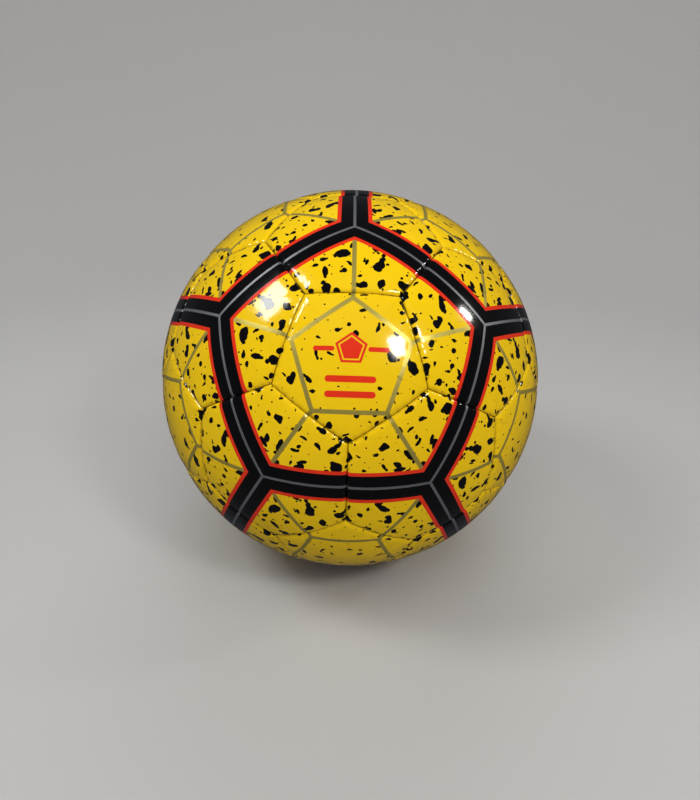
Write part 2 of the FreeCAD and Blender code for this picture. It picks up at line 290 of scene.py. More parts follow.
def treeWithInputs(name, inputs):
    tree = bpy.data.node_groups.new(name, "GeometryNodeTree")
    tree.interface.new_socket("Geometry", in_out="INPUT", socket_type="NodeSocketGeometry")
    tree.interface.new_socket("Geometry", in_out="OUTPUT", socket_type="NodeSocketGeometry")
    for label, value in inputs.items():
        kind = "NodeSocketInt" if isinstance(value, int) else "NodeSocketFloat"
        tree.interface.new_socket(label, in_out="INPUT", socket_type=kind).default_value = value
    given = tree.nodes.new("NodeGroupInput")
    made = tree.nodes.new("NodeGroupOutput")
    return tree, {place.name: Wire(tree, place) for place in given.outputs if place.name}, made


def namedValue(tree, name, kind="FLOAT"):
    node = addNode(tree, "GeometryNodeInputNamedAttribute", {"data_type": kind}, Name=name)
    return Wire(tree, next(place for place in node.outputs if place.enabled and place.name == "Attribute"))


def centredNoise(tree, where, scale, seed, detail=2.0):
    node = addNode(tree, "ShaderNodeTexNoise", {"noise_dimensions": "4D"},
                   Vector=where, W=seed, Scale=scale, Detail=detail)
    return outOf(tree, node, "Fac") - 0.5


def fadeOut(distance, reach):
    return (distance / reach * -1).math("EXPONENT")


gathers = {
    # noise scales per metre, or per stitch along a seam, and how much each varies
    "rollScale": 70.0, "rollVaries": 1.1,
    "notchScale": 160.0, "notchVaries": 2.2, "notchMiddle": 0.9, "notchSharp": 5.0,
    "gatherScale": 0.9, "swellScale": 0.33, "sideShift": 3.7, "cornerClear": 3.5 * mm,
    "puckerScale": 210.0, "puckerVaries": 1.6, "puckerSink": 0.35, "lumpScale": 42.0,
}


def makePuffTree(coverPrint, backing):
    tree, given, made = treeWithInputs("panelPuff", puff)
    gap, run, corner, face, side = [
        namedValue(tree, name) for name in ("seamGap", "seamRun", "cornerGap", "face", "seamSide")]
    where = Wire(tree, addNode(tree, "GeometryNodeInputPosition").outputs[0])
    seed = given["Seed"]

    # the face rolls down into the seam like a quarter of an ellipse, wider in some places than in others
    loose = centredNoise(tree, where, gathers["rollScale"], seed + 20.0, 1.0) * gathers["rollVaries"] + 1.0
    roll = (1 - gap / (given["Roll Width"] * loose)).math("MAXIMUM", 0.0)
    valley = (1 - (1 - roll * roll).math("SQRT")) * given["Seam Depth"]
    dip = fadeOut(gap, given["Soft Reach"]) * given["Soft Dip"]

    # each stitch pulls a small notch into the edge
    phase = (run / given["Stitch Step"] * (2 * math.pi)).math("COSINE") * 0.5 + 0.5
    uneven = centredNoise(tree, where, gathers["notchScale"], seed) * gathers["notchVaries"]
    uneven = uneven + gathers["notchMiddle"]
    near = gap / given["Stitch Reach"]
    notch = phase.math("POWER", gathers["notchSharp"]) * fadeOut(near * near, 1.0)
    notch = notch * given["Stitch Pull"] * uneven

    # the cover gathers along the seams, and most where three panels meet
    folds = combined(tree, run / given["Stitch Step"], gap / given["Wrinkle Length"],
                     side * gathers["sideShift"])
    offCorner = 1 - fadeOut(corner, gathers["cornerClear"])
    gather = centredNoise(tree, folds, gathers["gatherScale"], seed + 3.0, 1.0) * offCorner
    gather = gather * fadeOut(gap, given["Wrinkle Reach"]) * given["Wrinkle"]
    swell = centredNoise(tree, folds, gathers["swellScale"], seed + 15.0, 0.5)
    swell = swell * fadeOut(gap, given["Swell Reach"]) * given["Swell"]
    pucker = centredNoise(tree, where, gathers["puckerScale"], seed + 7.0) * gathers["puckerVaries"]
    pucker = (pucker - gathers["puckerSink"]) * fadeOut(corner, given["Pucker Reach"]) * given["Pucker"]
    lump = centredNoise(tree, where, gathers["lumpScale"], seed + 11.0, 1.5) * given["Lump"]
    height = lump + gather + swell + pucker - valley - dip - notch

    outwards = addNode(tree, "ShaderNodeVectorMath", {"operation": "NORMALIZE"}, Vector=where)
    shaped = addNode(tree, "GeometryNodeSetPosition", Geometry=given["Geometry"],
                     Offset=scaled(tree, outwards, height * face))
    whole = addNode(tree, "GeometryNodeRealizeInstances", Geometry=shaped)
    printed = addNode(tree, "GeometryNodeSetMaterial", Geometry=whole, Material=coverPrint)
    lined = addNode(tree, "GeometryNodeSetMaterial", Geometry=printed, Material=backing,
                    Selection=namedValue(tree, "back").math("GREATER_THAN", 0.5))
    tree.links.new(lined.outputs[0], made.inputs[0])
    return tree


def socketOf(tree, name):
    return next(item.identifier for item in tree.interface.items_tree
                if item.in_out == "INPUT" and item.name == name)


def plainFrom(thing, tree, inputs, name):
    # runs a tree on thing and turns the result into a plain mesh in a new object
    modifier = thing.modifiers.new(tree.name, "NODES")
    modifier.node_group = tree
    for label, value in inputs.items():
        modifier[socketOf(tree, label)] = value
    bpy.context.view_layer.update()
    evaluated = thing.evaluated_get(bpy.context.evaluated_depsgraph_get())
    mesh = bpy.data.meshes.new_from_object(evaluated, preserve_all_data_layers=True,
                                           depsgraph=bpy.context.evaluated_depsgraph_get())
    thing.modifiers.remove(modifier)
    source = thing.data
    bpy.data.objects.remove(thing)
    if isinstance(source, bpy.types.Mesh):
        bpy.data.meshes.remove(source)
    mesh.name = name
    return addThing(name, mesh)


def slerp(start, end, share):
    # points on the great circle from start to end; share may be an array
    angle = np.arccos(np.clip(np.sum(start * end, axis=-1, keepdims=True), -1, 1))
    share = np.asarray(share)[..., None] if np.ndim(share) else share
    return (np.sin((1 - share) * angle) * start + np.sin(share * angle) * end) / np.sin(angle)


def outline(sides, turn):
    # points round a panel's edge, evenly spaced on each side, as directions from the ball's centre
    reach = math.asin(math.sin(seamAngle / 2) / math.sin(math.pi / sides))
    corners = []
    for number in range(sides):
        angle = (number - 0.5) * 2 * math.pi / sides
        corners.append((math.sin(reach) * math.cos(angle), math.sin(reach) * math.sin(angle), math.cos(reach)))
    corners = np.array(corners)
    steps = np.arange(panel["sidePoints"]) / panel["sidePoints"]
    rows = [slerp(corners[number][None, :], corners[(number + 1) % sides][None, :], steps)
            for number in range(sides)]
    return np.vstack(rows) @ turn.T, corners @ turn.T


def ringPlan(hole):
    # (share of the way from the middle, or from the hole's rim, to the edge; radius; on the face; on the back)
    # for rings from the middle of the face out to the edge, down the hem, and back under the face
    count = panel["faceRings"]
    radius = ballRadius
    edge = radius * panel["reach"] - hole
    shares = [1 - (step / count) ** panel["crowding"] for step in range(count + (1 if hole else 0))][::-1]
    rim = 1 - panel["hemGap"] * mm / edge
    plan = [(share * rim, radius, 1, 0) for share in shares]
    depths = np.linspace(panel["hemTop"], panel["hemDepth"], panel["hemRings"])
    plan += [(rim, radius - depth * mm, 0, 0) for depth in depths]
    inner = rim - panel["skin"] * mm / edge
    plan += [(inner, radius - depth * mm, 0, 1) for depth in depths[::-1]]
    under = radius - (panel["skin"] + panel["behind"]) * mm
    backs = np.linspace(1, 0, panel["backRings"], endpoint=bool(hole))
    plan += [(inner * share, under, 0, 1) for share in backs]
    return plan


def layPanel(name, axis, beside, sides, hole=0.0):
    turn = np.array(turnTo(axis, beside))
    edge, corners = outline(sides, turn)
    centre = np.array(axis)
    plan = ringPlan(hole)
    around = len(edge)
    shares, heights, fronts, back = zip(*plan)
    start = np.tile(centre, (around, 1))
    if hole:  # the rim of a round hole
        start = slerp(start, edge, hole / ballRadius / np.arccos(edge @ centre))
    ways = np.vstack([slerp(start, edge, share) for share in shares])
    radii = np.repeat(heights, around)
    face = np.repeat(fronts, around).astype(float)
    places = ways * radii[:, None]
    quads = []
    for ring in range(len(plan) - 1):
        for step in range(around):
            after = (step + 1) % around
            a, b = ring * around, (ring + 1) * around
            quads.append((a + step, b + step, b + after, a + after))
    backed = [bool(back[ring] and back[ring + 1]) for ring in range(len(plan) - 1) for step in range(around)]
    last = (len(plan) - 1) * around
    if hole:
        quads += [(last + step, step, (step + 1) % around, last + (step + 1) % around)
                  for step in range(around)]
        backed += [False] * around
    else:
        top = len(places)
        places = np.vstack([places, centre * ballRadius, centre * radii[-1]])
        ways = np.vstack([ways, centre, centre])
        face = np.append(face, (1.0, 0.0))
        quads += [(top, step, (step + 1) % around) for step in range(around)]
        quads += [(top + 1, last + (step + 1) % around, last + step) for step in range(around)]
        backed += [False] * around + [True] * around
    mesh = bpy.data.meshes.new(name)
    mesh.from_pydata(places.tolist(), [], quads)
    measures = measurePanel(ways, corners)
    measures["face"] = face
    for label, values in measures.items():
        mesh.attributes.new(label, "FLOAT", "POINT").data.foreach_set("value", values.astype(np.float32))
    mesh.attributes.new("back", "FLOAT", "FACE").data.foreach_set("value", np.array(backed, np.float32))
    mesh.polygons.foreach_set("use_smooth", [True] * len(mesh.polygons))
    layPrint(mesh, ways, turn)
    return addThing(name, mesh)


def measurePanel(ways, corners):
    # how far each point is from the nearest seam and corner, and how far along that seam, in degrees
    gaps = []
    runs = []
    for number, corner in enumerate(corners):
        after = corners[(number + 1) % len(corners)]
        normal = np.cross(corner, after)
        normal /= np.linalg.norm(normal)
        middle = corner + after
        middle /= np.linalg.norm(middle)
        gaps.append(np.arcsin(np.clip(ways @ normal, -1, 1)) * ballRadius)
        runs.append(np.degrees(np.arctan2(ways @ np.cross(normal, middle), ways @ middle)))
    gaps = np.array(gaps)
    nearest = np.argmin(gaps, axis=0)
    every = np.arange(len(ways))
    toCorners = np.arccos(np.clip(ways @ corners.T, -1, 1)).min(axis=1) * ballRadius
    return {"seamGap": np.maximum(gaps[nearest, every], 0), "seamRun": np.array(runs)[nearest, every],
            "seamSide": nearest + 10 * corners[0].sum(), "cornerGap": toCorners}


draws = np.random.default_rng(panel["seed"])


def layPrint(mesh, ways, turn):
    # flat panel coordinates in metres, a little off centre as print on sewn panels is
    local = ways @ turn
    angle = np.arctan2(local[:, 1], local[:, 0]) + math.radians(draws.uniform(-1, 1) * panel["misturn"])
    out = np.arccos(np.clip(local[:, 2], -1, 1)) * ballRadius
    shift = draws.uniform(-1, 1, 2) * panel["misprint"] * mm
    flat = np.stack([out * np.cos(angle) + shift[0], out * np.sin(angle) + shift[1]], axis=1)
    layer = mesh.uv_layers.new(name="panelPrint")
    corners = np.empty(len(mesh.loops), np.int32)
    mesh.loops.foreach_get("vertex_index", corners)
    layer.data.foreach_set("uv", flat[corners].astype(np.float32).ravel())


# print and finish of the cover

ink = {
    "yellow": (0.83, 0.545, 0.004, 1), "warmYellow": (0.78, 0.475, 0.003, 1), "red": (0.70, 0.030, 0.009, 1),
    "black": (0.0016, 0.0016, 0.0022, 1), "silver": (0.30, 0.31, 0.33, 1),
    "oliveSilver": (0.64, 0.51, 0.07, 1),
    # the first tint on the next line is no ink but painted shade, multiplied into the colour in the seam
    # grooves
    "seamShade": (0.16, 0.12, 0.16), "backing": (0.62, 0.60, 0.55, 1),
}
band = {"silver": 0.62, "black": 6.1, "red": 7.9, "spoke": 0.95}
frameLine = {"apothem": 21.24, "half": 0.95}
splatterLayers = (
    # cell size, smallest and largest blob, share of cells with a blob, bend of its outline, all in mm
    {"cell": 13.0, "small": 1.6, "large": 2.75, "share": 0.9, "warp": 0.9, "shift": 3.1},
    {"cell": 8.6, "small": 1.0, "large": 1.8, "share": 0.88, "warp": 0.6, "shift": 17.7},
    {"cell": 6.8, "small": 0.45, "large": 0.9, "share": 0.7, "warp": 0.4, "shift": 41.3},
    {"cell": 4.8, "small": 0.16, "large": 0.42, "share": 0.65, "warp": 0.2, "shift": 66.1},
)


blob = {
    # bends and bumps of an outline: noise scale per mm, then depth as a share of the blob and in mm
    "bendScale": 0.2, "bumpScale": 0.45, "bumpShare": 0.4, "bumpMore": 0.03, "scatter": 0.62, "crowd": 1.4,
    # a drop is at least this long for its width, and some are longer
    "long": 1.05, "longer": 0.75, "rarity": 3.0,
    # the smaller drop at its end: place along and across, size, all as shares of the blob
    "tailAt": 0.6, "tailFurther": 1.3, "tailAside": 0.25, "tailSize": 0.32, "tailBigger": 0.3, "merge": 0.5,
    # room that a blob keeps in its cell
    "reach": 1.0, "reachFurther": 1.75, "leastReach": 1.3,
    "hide": 9.0, "soft": 0.09, "sparse": 0.5, "slant": 1.7, "redraw": 7.3,
}


def makeSplatterGroup():
    # a layer of blobs: distance to the nearest blob's edge, below zero inside it
    tree = bpy.data.node_groups.new("splatterLayer", "ShaderNodeTree")
    tree.interface.new_socket("Place", in_out="INPUT", socket_type="NodeSocketVector")
    for label in ("Cell", "Small", "Large", "Share", "Warp", "Shift"):
        tree.interface.new_socket(label, in_out="INPUT", socket_type="NodeSocketFloat")
    tree.interface.new_socket("Distance", in_out="OUTPUT", socket_type="NodeSocketFloat")
    start = tree.nodes.new("NodeGroupInput")
    given = {place.name: Wire(tree, place) for place in start.outputs if place.name}
    shift = combined(tree, given["Shift"], given["Shift"] * blob["slant"])
    moved = vectorMath(tree, "ADD", given["Place"], shift)
    bumps = outOf(tree, flatNoise(tree, moved, blob["bumpScale"]), "Fac") - 0.5
    bend = outOf(tree, flatNoise(tree, moved, blob["bendScale"]), "Color")
    offset = vectorMath(tree, "SUBTRACT", bend, combined(tree, 0.5, 0.5))
    warped = vectorMath(tree, "ADD", moved, scaled(tree, offset, given["Warp"] * 2))
    cells, space = [addNode(tree, "ShaderNodeTexVoronoi", {"voronoi_dimensions": "2D", "feature": feature},
                            Vector=warped, Scale=1 / given["Cell"], Randomness=blob["scatter"])
                    for feature in ("F1", "N_SPHERE_RADIUS")]
    chance = parts(tree, outOf(tree, cells, "Color"))
    away = parts(tree, vectorMath(tree, "SUBTRACT", warped, outOf(tree, cells, "Position")))
    turn = chance[0] * (2 * math.pi)
    along = away[0] * turn.math("COSINE") + away[1] * turn.math("SINE")
    across = away[1] * turn.math("COSINE") - away[0] * turn.math("SINE")
    spare = (chance[0] * blob["redraw"]).math("FRACT")  # a second chance from the same draw
    size = given["Small"] + (given["Large"] - given["Small"]) * chance[1].math("POWER", blob["crowd"])
    reach = larger(blob["reach"] + spare * blob["reachFurther"], blob["leastReach"])
    size = smaller(size, outOf(tree, space, "Radius") * given["Cell"] / reach)  # no blob leaves its own cell

    # a stretched drop, with a smaller one run into its end
    stretch = blob["long"] + spare.math("POWER", blob["rarity"]) * blob["longer"]
    drop = lengthOf(along / stretch, across * stretch.math("SQRT")) - size
    tailAlong = along - size * (blob["tailAt"] + spare * blob["tailFurther"])
    tail = lengthOf(tailAlong, across - size * blob["tailAside"])
    tail = tail - size * (blob["tailSize"] + spare * blob["tailBigger"])
    drop = drop.math("SMOOTH_MIN", tail, size * blob["merge"])
    hidden = chance[2].math("GREATER_THAN", given["Share"]) * blob["hide"]
    end = tree.nodes.new("NodeGroupOutput")
    plug(tree, end.inputs[0], drop + hidden + bumps * (size * blob["bumpShare"] + blob["bumpMore"]))
    return tree


splatterGroup = makeSplatterGroup()


def splatter(tree, place, sparse=1.0):
    nearest = None
    for layer in splatterLayers:
        values = {name.title(): value for name, value in layer.items()}
        values["Share"] *= sparse
        node = addNode(tree, "ShaderNodeGroup", {"node_tree": splatterGroup}, Place=place, **values)
        distance = outOf(tree, node, "Distance")
        nearest = distance if nearest is None else smaller(nearest, distance)
    return below(nearest, 0.0, blob["soft"])


def printSpot(tree):
    # flat panel coordinates in mm, with the angle and distance from the panel's centre
    place = scaled(tree, addNode(tree, "ShaderNodeUVMap", {"uv_map": "panelPrint"}), 1 / mm)
    x, y = parts(tree, place)[:2]
    return {"place": place, "x": x, "y": y, "angle": y.math("ARCTAN2", x), "out": lengthOf(x, y)}


# each of these gives the masks of the inks on one kind of panel

def hexagonInks(tree, spot):
    third = math.radians(60)
    side = (spot["angle"] - third).math("PINGPONG", third)
    away = spot["out"] * side.math("SINE")
    return {
        "splatter": splatter(tree, spot["place"]),
        "olive": below(spot["out"] * (third - side).math("SINE"), band["spoke"]),
        "red": below(away, band["red"]),
        "black": below(away, band["black"]),
        "silver": below(away, band["silver"]),
    }


def pentagonInks(tree, spot):
    fifth = math.radians(36)
    side = spot["angle"].math("PINGPONG", fifth)
    flat = spot["out"] * (fifth - side).math("COSINE")
    line = below((flat - frameLine["apothem"]).math("ABSOLUTE"), frameLine["half"])
    beyond = flat.math("GREATER_THAN", frameLine["apothem"])
    spoke = below(spot["out"] * side.math("SINE"), band["spoke"]) * beyond
    return {"splatter": splatter(tree, spot["place"], blob["sparse"]), "olive": larger(line, spoke)}


badge = {
    # heights, reaches and half widths in mm
    "centre": 4.4, "size": 5.6, "ring": 0.6, "inset": 1.3, "margin": 1.4,
    "wing": 11.2, "wingReach": 4.4, "wingHalf": 1.0, "bars": (-7.8, -14.0), "barReach": 10.4, "barHalf": 1.35,
}


def roundedBar(across, rise, half, wide):
    # distance from a line across, from its middle to half, less the radius of its round ends
    ends = larger(across.math("ABSOLUTE") - (half - wide), 0.0)
    return lengthOf(rise, ends)


def emblemInks(tree, spot):
    # a plain badge: a five-sided shield with a ring line and two wings, over two rounded bars
    inks = pentagonInks(tree, spot)
    y = spot["y"]
    high = spot["x"] - badge["centre"]  # the panel's X points up
    fifth = math.radians(36)
    side = y.math("ARCTAN2", high).math("PINGPONG", fifth)
    flat = lengthOf(y, high) * (fifth - side).math("COSINE")
    ring = below((flat - (badge["size"] - badge["inset"])).math("ABSOLUTE"), badge["ring"] / 2)
    shield = below(flat, badge["size"])
    wing = roundedBar(y.math("ABSOLUTE") - badge["wing"], high, badge["wingReach"], badge["wingHalf"])
    shape = larger(shield * (1 - ring), below(wing, badge["wingHalf"]))
    clear = shield
    for low in badge["bars"]:
        bar = roundedBar(y, spot["x"] - low, badge["barReach"], badge["barHalf"])
        shape = larger(shape, below(bar, badge["barHalf"]))
        clear = larger(clear, below(bar, badge["barHalf"] + badge["margin"]))
    inks["splatter"] = inks["splatter"] * (1 - clear)
    inks["red"] = shape
    return inks


film = {
    # noise scales per metre, colour and roughness amounts, and heights in mm
    "cloud": 26.0, "cloudFrom": 0.35, "cloudMix": 1.1, "fleck": 900.0, "fleckMix": 0.25, "lineCover": 0.93,
    "oliveMetal": 0.65, "silverMetal": 0.75, "seamShadeAmount": 0.9, "smudge": 55.0,
    "gloss": 0.085, "smudgeDull": 0.09, "metalDull": 0.4, "creaseDull": 0.4,
    "texture": ((1500.0, 2.0, 0.006), (210.0, 2.0, 0.06), (75.0, 1.0, 0.18)),  # scale, detail, height
    "inkHigh": 0.006, "foilHigh": 0.01, "coat": 0.3, "coatRough": 0.06, "shine": 0.45,
}


def makePrint(name, layOut):
    material, tree, shader = newMaterial(name)
    inks = layOut(tree, printSpot(tree))
    where = objectPlace(tree)

    cloudy = (noise(tree, where, film["cloud"], 3.0) - film["cloudFrom"]) * film["cloudMix"]
    fleck = noise(tree, where, film["fleck"], 1.0) * film["fleckMix"]
    colour = mixColour(tree, cloudy, ink["yellow"], ink["warmYellow"])
    olive = mixColour(tree, fleck, ink["oliveSilver"], ink["silver"])
    colour = mixColour(tree, inks["splatter"], colour, ink["black"])
    colour = mixColour(tree, inks["olive"] * film["lineCover"], colour, olive)
    metal = inks["olive"] * film["oliveMetal"]
    dark = inks["splatter"]
    if "red" in inks:
        colour = mixColour(tree, inks["red"], colour, ink["red"])
        metal = metal * (1 - inks["red"])
        dark = dark * (1 - inks["red"])
    if "silver" in inks:
        colour = mixColour(tree, inks["black"], colour, ink["black"])
        colour = mixColour(tree, inks["silver"], colour, ink["silver"])
        metal = larger(metal * (1 - inks["black"]), inks["silver"] * film["silverMetal"])
        dark = larger(dark, inks["black"] * (1 - inks["silver"]))

    # painted shade darkens the colour in the seam grooves, most at the stitches
    gap = surfaceValue(tree, "seamGap") / mm
    turns = surfaceValue(tree, "seamRun") / puff["Stitch Step"] * (2 * math.pi)
    stitch = (turns.math("COSINE") * 0.5 + 0.5).math("POWER", 4.0)
    seamShade = larger(below(gap, 0.16, 0.35), below(gap, 0.5, 0.4) * stitch * 0.5)
    shaded = vectorMath(tree, "MULTIPLY", colour, ink["seamShade"])
    colour = mixColour(tree, seamShade * film["seamShadeAmount"], colour, shaded)
    plug(tree, shader.inputs["Base Color"], colour)
    plug(tree, shader.inputs["Metallic"], metal)

    # the film's gloss: a little duller in places, with fine grain and slow waves in the surface
    smudge = noise(tree, where, film["smudge"], 4.0, 0.6)
    roughness = film["gloss"] + smudge * film["smudgeDull"]
    roughness = roughness + metal * film["metalDull"] + seamShade * film["creaseDull"]
    plug(tree, shader.inputs["Roughness"], roughness)
    height = dark * film["inkHigh"] + metal * film["foilHigh"]
    for scale, detail, high in film["texture"]:
        height = height + noise(tree, where, scale, detail) * high
    addBump(tree, shader, 1.0, mm, height)
    shader.inputs["Coat Weight"].default_value = film["coat"]
    shader.inputs["Coat Roughness"].default_value = film["coatRough"]
    shader.inputs["Specular IOR Level"].default_value = film["shine"]
    return material


def makeWeave(name, first, second, pitch, rough=0.85):
    # plain woven cloth in Object coordinates, its threads crossing at pitch
    material, tree, shader = newMaterial(name)
    where = objectPlace(tree)
    wobble = addNode(tree, "ShaderNodeTexNoise", Vector=where, Scale=300.0, Detail=1.0)
    bent = vectorMath(tree, "ADD", where, scaled(tree, outOf(tree, wobble, "Color"), 0.0006))
    x, y, z = parts(tree, bent)
    turnsPer = 2 * math.pi / pitch
    waves = [(axis * turnsPer).math("SINE") for axis in (x, y, z)]
    weave = (waves[0] * waves[1] + waves[1] * waves[2] + waves[2] * waves[0]) / 3 * 0.5 + 0.5
    fibres = noise(tree, where, 2500.0, 3.0, 0.7)
    # painted shade: the colour is darker where the weave dips, mixed with the fibres' own random tone
    shadeAndFibreTone = weave * 0.6 + fibres * 0.5
    plug(tree, shader.inputs["Base Color"], mixColour(tree, shadeAndFibreTone, first, second))
    plug(tree, shader.inputs["Roughness"], rough - weave * 0.12 + fibres * 0.1)
    addBump(tree, shader, 0.8, 0.15 * mm, weave + fibres * 0.35)
    shader.inputs["Sheen Weight"].default_value = 0.25
    return material


print("making the cover's print")
hexagonPrint = makePrint("hexagonPrint", hexagonInks)
pentagonPrint = makePrint("pentagonPrint", pentagonInks)
emblemPrint = makePrint("emblemPrint", emblemInks)
coverBacking = makeWeave("coverBacking", ink["backing"], (0.74, 0.72, 0.67, 1), 0.7 * mm)


# the cover itself

def sewCover():
    trees = {name: makePuffTree(material, coverBacking) for name, material in
             (("hexagon", hexagonPrint), ("pentagon", pentagonPrint), ("emblem", emblemPrint))}
    for node in sorted(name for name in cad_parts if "_cover_" in name):
        five = node.startswith("pentagon")
        own, others = (pentagonAxes, hexagonAxes) if five else (hexagonAxes, pentagonAxes)
        axis = coverAxis(node, own)
        near = max(axis.dot(other) for other in others) - 0.01
        beside = [other for other in others if axis.dot(other) > near]
        chosen = max(beside, key=lambda other: round(other.z, 4) + 0.001 * other.x)  # the highest neighbour
        hole = valve["opening"] * mm if node.endswith("valve") else 0.0
        kind = "emblem" if node.endswith("emblem") else "pentagon" if five else "hexagon"
        laid = layPanel(node + "_skin", axis, chosen, 5 if five else 6, hole)
        piece = plainFrom(laid, trees[kind], puff, node + "_skin")
        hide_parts(node)
        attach(piece, "ball")


# seam threads: twisted rails under each seam with the stitches across them

thread = {
    "Stitches": 9, "Stitch Step": 2.375, "Stitch Width": 4.2 * mm, "Stitch Thickness": 0.36 * mm,
    "Rail Thickness": 0.27 * mm, "Twist": 1500.0, "Rail Steps": 56,
}
rail = {
    # mm from the seam's middle and below the surface, degrees each way, and shares of the thread's thickness
    "aside": 1.8, "depth": 4.9, "half": 10.4, "steps": 24,
    "strand": 0.8, "strandSides": 5, "barSides": 8, "barSteps": 5, "bow": 0.7,
}


def makeStitchTree(material):
    tree, given, made = treeWithInputs("seamStitching", thread)
    rails = addNode(tree, "GeometryNodeMeshToCurve", Mesh=given["Geometry"],
                    Selection=namedValue(tree, "isRail").math("GREATER_THAN", 0.5))
    fine = addNode(tree, "GeometryNodeResampleCurve", Curve=rails, Count=given["Rail Steps"])
    along = addNode(tree, "GeometryNodeSplineParameter")
    twisted = addNode(tree, "GeometryNodeSetCurveTilt", Curve=fine,
                      Tilt=outOf(tree, along, "Length") * given["Twist"])
    strand = addNode(tree, "GeometryNodeCurvePrimitiveCircle", Resolution=rail["strandSides"],
                     Radius=given["Rail Thickness"])
    strands = tree.nodes.new("GeometryNodeJoinGeometry")
    for side in (rail["strand"], -rail["strand"]):
        aside = combined(tree, given["Rail Thickness"] * side)
        moved = addNode(tree, "GeometryNodeTransform", Geometry=strand, Translation=aside)
        tree.links.new(moved.outputs[0], strands.inputs[0])
    swept = tree.nodes.new("GeometryNodeCurveToMesh")
    tree.links.new(twisted.outputs[0], swept.inputs["Curve"])
    tree.links.new(strands.outputs[0], swept.inputs["Profile Curve"])
    swept.inputs["Fill Caps"].default_value = True

    bar = addNode(tree, "GeometryNodeMeshCylinder", Vertices=rail["barSides"], Side_Segments=rail["barSteps"],
                  Radius=given["Stitch Thickness"], Depth=given["Stitch Width"])
    place = parts(tree, Wire(tree, addNode(tree, "GeometryNodeInputPosition").outputs[0]))
    share = place[2] / given["Stitch Width"] * 2
    bow = combined(tree, 0.0, share * share * (given["Stitch Thickness"] * -rail["bow"]))
    bent = addNode(tree, "GeometryNodeSetPosition", Geometry=bar, Offset=bow)
    knots = addNode(tree, "GeometryNodeMeshToPoints", Mesh=given["Geometry"],
                    Selection=namedValue(tree, "isRail").math("LESS_THAN", 0.5))
    turn = addNode(tree, "FunctionNodeAxesToRotation", {"primary_axis": "Z", "secondary_axis": "Y"},
                   Primary_Axis=namedValue(tree, "across", "FLOAT_VECTOR"),
                   Secondary_Axis=namedValue(tree, "outward", "FLOAT_VECTOR"))
    stitched = addNode(tree, "GeometryNodeInstanceOnPoints", Points=knots,
                       Instance=bent, Rotation=turn)
    both = tree.nodes.new("GeometryNodeJoinGeometry")
    for piece in (swept, stitched):
        tree.links.new(piece.outputs[0], both.inputs[0])
    whole = addNode(tree, "GeometryNodeRealizeInstances", Geometry=both)
    waxed = addNode(tree, "GeometryNodeSetMaterial", Geometry=whole, Material=material)
    smooth = addNode(tree, "GeometryNodeSetShadeSmooth", Geometry=waxed)
    tree.links.new(smooth.outputs[0], made.inputs[0])
    return tree


def laySeamLines(name, chosen):
    # guide mesh: an edge line for each rail and a loose point for each stitch
    places, edges, isRail, across, outward = [], [], [], [], []
    radius = ballRadius - rail["depth"] * mm
    for first, second in chosen:
        normal = first.cross(second).normalized()
        middle = (first + second).normalized()
        tangent = normal.cross(middle)
        for side in (1, -1):
            start = len(places)
            steps = rail["steps"]
            for step in range(steps + 1):
                angle = math.radians(rail["half"]) * (2 * step / steps - 1)
                way = middle * math.cos(angle) + tangent * math.sin(angle)
                places.append(way * radius + normal * rail["aside"] * mm * side)
                edges += [(start + step, start + step + 1)] if step < steps else []
                isRail.append(1.0)
                across += list(normal)
                outward += list(way)
        for number in range(thread["Stitches"]):
            angle = math.radians((number - (thread["Stitches"] - 1) / 2) * thread["Stitch Step"])
            way = middle * math.cos(angle) + tangent * math.sin(angle)
            places.append(way * radius)
            isRail.append(0.0)
            across += list(normal)
            outward += list(way)
    mesh = bpy.data.meshes.new(name)
    mesh.from_pydata(places, edges, [])
    mesh.attributes.new("isRail", "FLOAT", "POINT").data.foreach_set("value", isRail)
    for label, ways in (("across", across), ("outward", outward)):
        mesh.attributes.new(label, "FLOAT_VECTOR", "POINT").data.foreach_set("vector", ways)
    return addThing(name, mesh)


def makeThreadWax():
    material, tree, shader = newMaterial("waxedThread")
    where = objectPlace(tree)
    fibre = noise(tree, where, 3200.0, 3.0, 0.7)
    wax = noise(tree, where, 240.0, 2.0)
    colour = mixColour(tree, fibre, (0.60, 0.55, 0.44, 1), (0.80, 0.76, 0.66, 1))
    plug(tree, shader.inputs["Base Color"], colour)
    plug(tree, shader.inputs["Roughness"], 0.72 - wax * 0.3)
    addBump(tree, shader, 0.7, 0.1 * mm, fibre)
    return material


def isHexagonSeam(seam):
    # both panels beside the seam are hexagons when no pentagon lies close to its middle
    middle = (seam[0] + seam[1]).normalized()
    return middle.dot(nearestWay(middle, pentagonAxes)) < math.cos(math.radians(20))


def sewSeams():
    tree = makeStitchTree(makeThreadWax())
    hexagonSeams = [seam for seam in seams if isHexagonSeam(seam)]
    pentagonSeams = [seam for seam in seams if not isHexagonSeam(seam)]
    upper = [seam for seam in pentagonSeams if (seam[0] + seam[1]).z > -0.01]
    lower = [seam for seam in pentagonSeams if (seam[0] + seam[1]).z <= -0.01]
    print("seams:", len(hexagonSeams), "between hexagons,", len(upper), "upper and", len(lower), "lower")
    for node, chosen in (("hexagon_seam_threads", hexagonSeams), ("upper_pentagon_seam_threads", upper),
                         ("lower_pentagon_seam_threads", lower)):
        piece = plainFrom(laySeamLines(node + "_sewn", chosen), tree, thread, node + "_sewn")
        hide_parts(node)
        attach(piece, "ball")


# valve: moulded housing and the soft core in it, turned about the valve's axis

